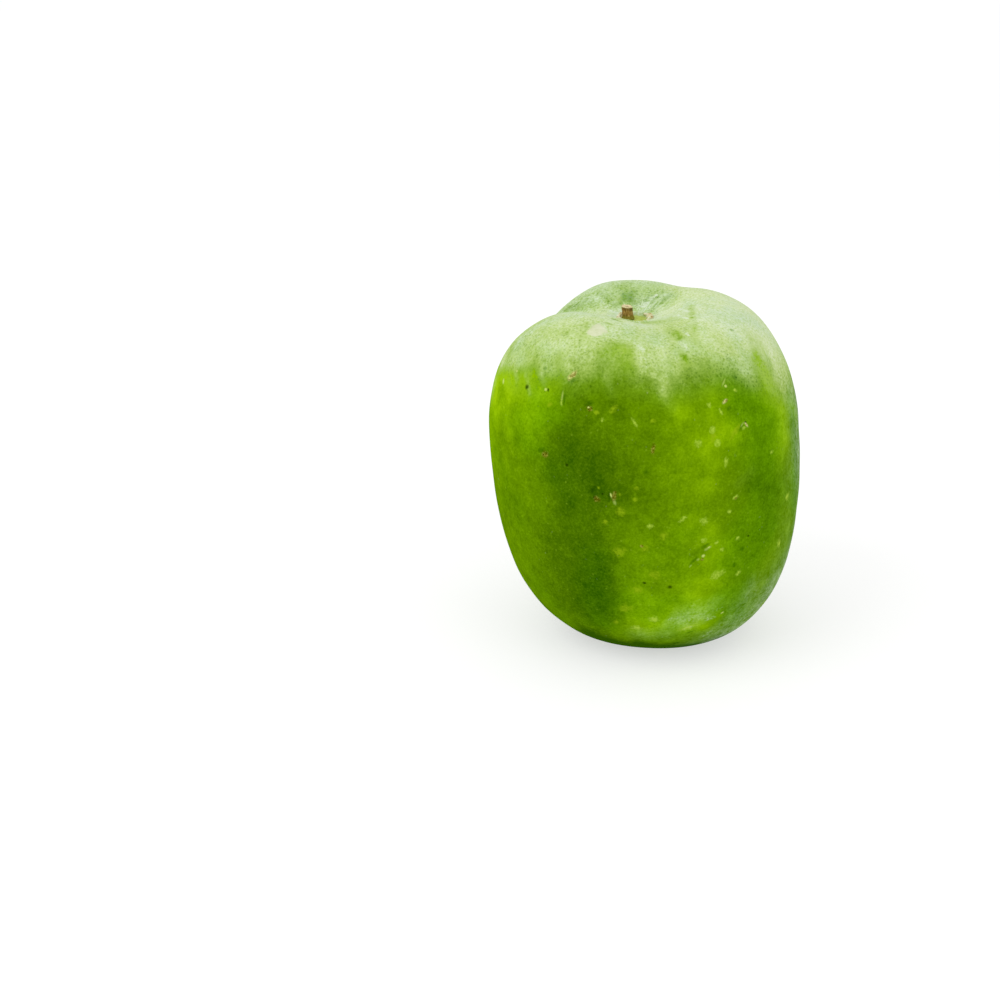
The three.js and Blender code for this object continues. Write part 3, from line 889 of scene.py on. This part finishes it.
class SkinShader(Shader):
    """Holds what the skin's mesh carries too, and the noises that several layers of the skin share."""

    def __init__(self, name):
        super().__init__(name)
        # bloom, tone and coolness, with painted shade in the bloom and tone
        self.bloom, self.tone, self.cool = self.split(self.attribute("bloom_tone_cool_and_shade"))
        # cream, frost and the bluish film, which is partly painted sheen
        self.cream, self.frost, self.haze_and_sheen = self.split(self.attribute("pale"))
        self.stroke = self.split(self.attribute("rubbed"))[0]
        self.stem_distance, self.is_upper, self.corky = self.split(self.attribute("round_stem"))
        self.streak_place = self.attribute("streak")
        self.clouds = self.centred_noise(18, 2.5)
        self.mottles = self.centred_noise(110, 3.5, 0.6)
        self.grain = self.centred_noise(620, 3, 0.7)
        self.wisps = self.centred_noise(240, 4, 0.65, None, 0.8)
        self.streaks = self.centred_noise(120, 3, 0.6, self.streak_place)
        self.coolness = self.add(0.35, self.cool, self.times(self.centred_noise(30, 2), 1.2))


def rind_green(s):
    """Green of the rind under the bloom: broad clouds, mottles and the drawn patches, painted shade among
    them.
    """
    tone = s.add(0.46, s.tone, s.times(s.clouds, 0.42), s.times(s.mottles, 0.47))
    tone = s.add(tone, s.times(s.streaks, 0.12), s.times(s.grain, 0.48), s.times(s.wisps, 0.25))
    green = s.ramp(
        tone,
        (0, 50, 88, 0), (0.25, 76, 112, 0), (0.5, 100, 140, 0), (0.75, 126, 168, 1), (1, 156, 197, 6),
    )
    return s.blend(s.span(s.coolness, 0.2, 1.2, 0, 0.75), green, s.tinted(green, 0.8, 1, 2.2))


def pores(s):
    """Dark specks close together, plainest where the bloom is thin."""
    cells = s.cells(500)
    speck = s.span(cells.outputs["Distance"], 0.5, 0.18)
    thin = s.times(s.span(s.bloom, 0.02, 0.25), s.span(s.bloom, 0.9, 0.45, 0.2, 1))
    thin = s.times(thin, s.span(s.noise(42, 2), 0.36, 0.6, 0.4, 1))
    strength = s.add(0.1, s.times(thin, 0.37), s.times(s.span(s.coolness, 0.3, 1), 0.2))
    pick = s.span(s.split(cells.outputs["Color"])[0], 0, 1, 0.35, 1.15, "LINEAR")
    return s.times(speck, strength, pick)


def breathing_dots(s):
    """Pale dots, small and scattered."""
    cells = s.cells(230)
    dot = s.span(cells.outputs["Distance"], 0.24, 0.06)
    return s.times(dot, s.span(s.split(cells.outputs["Color"])[1], 0.6, 0.9))


def bloom_film(s):
    """How thick the wax bloom lies: rubbed into streaks and mottles, with pale rays round the stem."""
    rubbed = s.add(s.times(s.streaks, 0.45), s.times(s.mottles, 0.25), s.times(s.clouds, 0.3))
    rubbed = s.add(rubbed, s.times(s.wisps, 0.6))
    give = s.times(s.span(s.bloom, 0, 0.25, 0.06, 0.5), s.span(s.bloom, 1, 0.6, 0.7, 1))
    film = s.add(s.bloom, s.times(rubbed, give), s.times(s.grain, s.span(s.bloom, 0.3, 0.85, 0.26, 1.4)))
    near_stem = s.times(s.span(s.stem_distance, 0.01, 0.014), s.span(s.stem_distance, 0.036, 0.016))
    rays = s.span(s.noise(150, 2, 0.5, s.streak_place), 0.5, 0.66)
    film = s.add(film, s.times(rays, near_stem, s.is_upper, 0.4))
    stroke = s.add(s.stroke, s.times(s.grain, 2.4), s.times(s.wisps, 2.4), s.times(s.streaks, 1.2))
    stroke = s.times(s.span(stroke, 0.1, 1.1), s.span(s.stroke, 0, 0.6))
    film = s.maths("SUBTRACT", film, s.times(stroke, 0.4))
    return s.maths("MINIMUM", s.maths("MAXIMUM", film, 0), 1)


def bloom_colour(s, film):
    """Colour of the bloom by its thickness, greyer in places."""
    colour = s.ramp(
        film,
        (0.15, 124, 164, 36), (0.4, 164, 192, 92), (0.62, 189, 210, 136), (0.82, 205, 221, 166),
        (1, 218, 230, 190),
    )
    sage = s.add(s.centred_noise(26, 2), s.times(s.centred_noise(90, 2), 0.6), s.times(s.cool, 0.3))
    return s.blend(s.span(sage, -0.18, 0.3), colour, s.tinted(colour, 0.9, 0.955, 1.06))


def with_wax(s, colour):
    """A colour with the flaky wax and the thin bluish film over it, the film partly painted sheen along
    the outlines.
    """
    frost = s.add(s.frost, s.times(s.grain, 1.4), s.times(s.wisps, 1.6), s.times(s.streaks, 0.6))
    frost = s.times(s.span(frost, 0.4, 1.2), s.span(s.frost, 0.05, 0.4))
    colour = s.blend(s.times(frost, 0.7), colour, paint(220, 232, 206))
    haze_and_sheen = s.add(1, s.times(s.grain, 4.6), s.times(s.wisps, 4.2), s.times(s.mottles, 2.6))
    haze_and_sheen = s.times(s.haze_and_sheen, s.maths("MAXIMUM", haze_and_sheen, 0))
    return s.blend(haze_and_sheen, colour, paint(236, 246, 240))


MARK_EDGES = {  # shares of the half size where a mark is full and where it ends, raggedness and its scale
    "shade": (0.1, 1.3, 0.9, 300),
    "spot": (0.1, 1.4, 2.2, 420),
    "dot": (0.1, 1.4, 2.4, 600),
    "pit": (0.15, 1.25, 0.6, 500),
    "scratch": (0.3, 1.3, 0.9, 500),
    "wound": (0.35, 1.15, 1.4, 420),
    "scar": (0.5, 1.15, 1.2, 420),
    "bead": (0.4, 1.2, 0.5, 420),
}


def with_marks(s, colour, scar_colour):
    """A colour with the marks over it, and the mask of each kind of mark."""
    mask = {kind: mark_mask(s, kind, *edge) for kind, edge in MARK_EDGES.items()}
    patchy = s.span(s.add(s.grain, s.wisps), -0.18, 0.1, 0.5, 1)
    wound_colour = s.ramp(s.noise(800, 2), (0.36, 64, 60, 0), (0.5, 110, 104, 16), (0.64, 156, 158, 66))
    layers = [
        # darker green patches, partly painted shade beside raised marks and dents
        (mask["shade"], 0.8, s.tinted(colour, 0.42, 0.56, 0.3)),
        (s.times(mask["spot"], patchy), 0.7, paint(144, 174, 20)),
        (s.times(mask["dot"], patchy), 0.8, paint(172, 203, 66)),
        (mask["pit"], 0.85, paint(26, 52, 0)),
        (mask["scratch"], 0.5, paint(176, 200, 96)),
        (mask["wound"], 0.85, wound_colour),
        (mask["scar"], 0.9, scar_colour),
        (mask["bead"], 0.85, paint(196, 216, 112)),
    ]
    for cover, strength, mark_colour in layers:
        colour = s.blend(s.times(cover, strength), colour, mark_colour)
    return colour, mask


def with_healed_patch(s, colour):
    """A colour with the bare cream patch over it."""
    cream = s.span(s.add(s.cream, s.times(s.centred_noise(420), 0.7)), 0.34, 0.72)
    cream_colour = s.blend(s.span(s.mottles, -0.15, 0.15), paint(206, 210, 172), paint(219, 222, 190))
    return s.blend(s.times(cream, 0.8), colour, cream_colour)


def with_socket(s, colour):
    """A colour with the socket's yellow-green floor and its corky rim over it, and where the cork is."""
    cork = s.span(s.add(s.corky, s.times(s.centred_noise(300), 1.5)), 0.28, 0.8)
    cork_colour = s.ramp(s.noise(420), (0.34, 178, 148, 92), (0.46, 224, 212, 164), (0.6, 244, 240, 214))
    floor = s.times(s.span(s.stem_distance, 0.0102, 0.0088), s.span(s.is_upper, 0, 0.5))
    floor_colour = s.blend(s.span(s.wisps, -0.2, 0.2), paint(168, 190, 60), paint(198, 214, 112))
    colour = s.blend(s.times(floor, 0.9), colour, floor_colour)
    return s.blend(s.times(cork, 0.9), colour, cork_colour), cork


def with_blossom_scar(s, colour, scar_colour):
    """A colour with the brown scar in the blossom dimple over it."""
    distance = s.add(s.stem_distance, s.times(s.centred_noise(380), 0.008))
    blossom = s.times(s.span(distance, 0.0072, 0.0052), s.span(s.is_upper, 0, -0.5))
    return s.blend(s.times(blossom, 0.9), colour, scar_colour)


def skin_normal(s, mask, pore, breath, cork):
    """Fine grain, low lumps, and raised and sunk marks, each over the last."""
    normal = s.bump(s.add(s.noise(900, 2), s.times(pore, -0.5), s.times(breath, 0.5)), 0.00012)
    normal = s.bump(s.noise(130, 3, 0.5), 0.0007, after=normal)
    raised = s.add(s.times(mask["scar"], s.noise(700)), s.times(cork, s.noise(800)))
    raised = s.add(raised, s.times(mask["dot"], 0.3), s.times(mask["bead"], 0.6))
    raised = s.add(raised, s.times(mask["scratch"], -0.4), s.times(mask["pit"], -0.9))
    return s.bump(raised, 0.0007, after=normal)


def skin_material():
    s = SkinShader("waxy_skin")
    pore = pores(s)
    breath = breathing_dots(s)
    film = bloom_film(s)
    scar_noise = s.noise(700, 2)
    scar_colour = s.ramp(scar_noise, (0.36, 128, 118, 46), (0.5, 182, 180, 98), (0.64, 212, 212, 138))
    green = s.blend(s.times(breath, 0.25), rind_green(s), paint(152, 188, 44))
    colour = s.blend(s.span(film, 0, 0.5, 0, 1, "LINEAR"), green, bloom_colour(s, film))
    colour = s.blend(pore, colour, s.tinted(colour, 0.36, 0.48, 0.24))
    colour = with_wax(s, colour)
    colour, mask = with_marks(s, colour, scar_colour)
    colour = with_healed_patch(s, colour)
    colour, cork = with_socket(s, colour)
    rough = s.add(0.42, s.times(film, 0.3), s.times(s.maths("MAXIMUM", mask["scar"], cork), 0.25))
    return s.dressed({
        "Base Color": with_blossom_scar(s, colour, scar_colour),
        "Roughness": s.add(rough, s.times(s.grain, 0.15)),
        "Specular IOR Level": 0,
        "Normal": skin_normal(s, mask, pore, breath, cork),
    })


def stem_material():
    s = Shader("dry_stem")
    radius, height, on_top = s.split(s.attribute("inner"))
    place = s.node("Mapping", {"Vector": s.object_place, "Scale": (1, 1, 0.16)}).outputs[0]
    fibre = s.noise(1500, 3, 0.65, place)
    side = s.ramp(
        fibre,
        (0.3, 84, 58, 12), (0.46, 144, 110, 42), (0.58, 186, 152, 80), (0.72, 224, 200, 140),
    )
    age = s.noise(260, 2)
    side = s.blend(s.span(age, 0.45, 0.62, 0, 0.5), side, paint(84, 58, 20))
    # painted shade: a dark band under the overhanging rim of the cut top
    shade_under_rim = s.times(s.span(height, 0.006, 0.0072), s.span(height, 0.009, 0.008))
    side = s.blend(s.times(shade_under_rim, 0.5), side, paint(82, 62, 16))
    # olive foot, partly the stem's own green and partly painted shade where it meets the socket floor
    green_foot_and_shade = s.span(height, 0.0042, 0.0012)
    side = s.blend(s.times(green_foot_and_shade, 0.75), side, paint(136, 136, 28))
    pith = s.noise(1300, 3, 0.6)
    cut = s.ramp(pith, (0.35, 186, 166, 112), (0.5, 226, 212, 160), (0.66, 246, 240, 206))
    heart = s.span(radius, 0.0016, 0.0009)
    cut = s.blend(s.times(heart, 0.45), cut, paint(120, 92, 52))
    return s.dressed({
        "Base Color": s.blend(on_top, side, cut),
        "Roughness": 0.82,
        "Specular IOR Level": 0.25,
        "Normal": s.bump(fibre, 0.0004),
    })


fruit.data.materials.append(skin_material())
stub.data.materials.append(stem_material())
for piece, node, slot in ((fruit, FRUIT_NODE, "skin"), (stub, STUB_NODE, "stem")):
    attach(piece, "root")
    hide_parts(node)


# Stage: a pale floor, which glows a little and so fades into the white surroundings, and soft lamps
FLOOR_HALF = 12.0
FLOOR_WHITE = 0.45
WHITE = (1.0, 1.0, 1.0, 1.0)
LAMPS = [  # name, place, size and power
    ("key_lamp", (-1.6, -1.2, 1.7), 2.2, 20.0),
    ("fill_lamp", (1.7, -1.3, 1.0), 1.5, 6.0),
]


def floor_material():
    return Shader("pale_floor").dressed({
        "Base Color": (FLOOR_WHITE, FLOOR_WHITE, FLOOR_WHITE, 1.0),
        "Roughness": 0.9,
        "Specular IOR Level": 0.0,
        "Emission Color": WHITE,
        "Emission Strength": 1.0 - FLOOR_WHITE,
    })


def make_stage():
    mesh = bpy.data.meshes.new("floor")
    corners = [(x * FLOOR_HALF, y * FLOOR_HALF, 0) for x, y in ((-1, -1), (1, -1), (1, 1), (-1, 1))]
    mesh.from_pydata(corners, [], [(0, 1, 2, 3)])
    mesh.materials.append(floor_material())
    floor = new_object("floor", mesh)
    aim = BODY_MIDDLE * MM
    for name, place, size, power in LAMPS:
        data = bpy.data.lights.new(name, "AREA")
        data.shape = "DISK"
        data.size = size
        data.energy = power
        lamp = new_object(name, data)
        lamp.location = place
        lamp.rotation_euler = (aim - Vector(place)).to_track_quat("-Z", "Y").to_euler()
    world = bpy.data.worlds.new("white_surroundings")
    world.use_nodes = True
    sky = world.node_tree.nodes["Background"]
    sky.inputs["Color"].default_value = WHITE
    sky.inputs["Strength"].default_value = 1.0
    bpy.context.scene.world = world
    bpy.context.scene.view_settings.view_transform = "Standard"


make_stage()
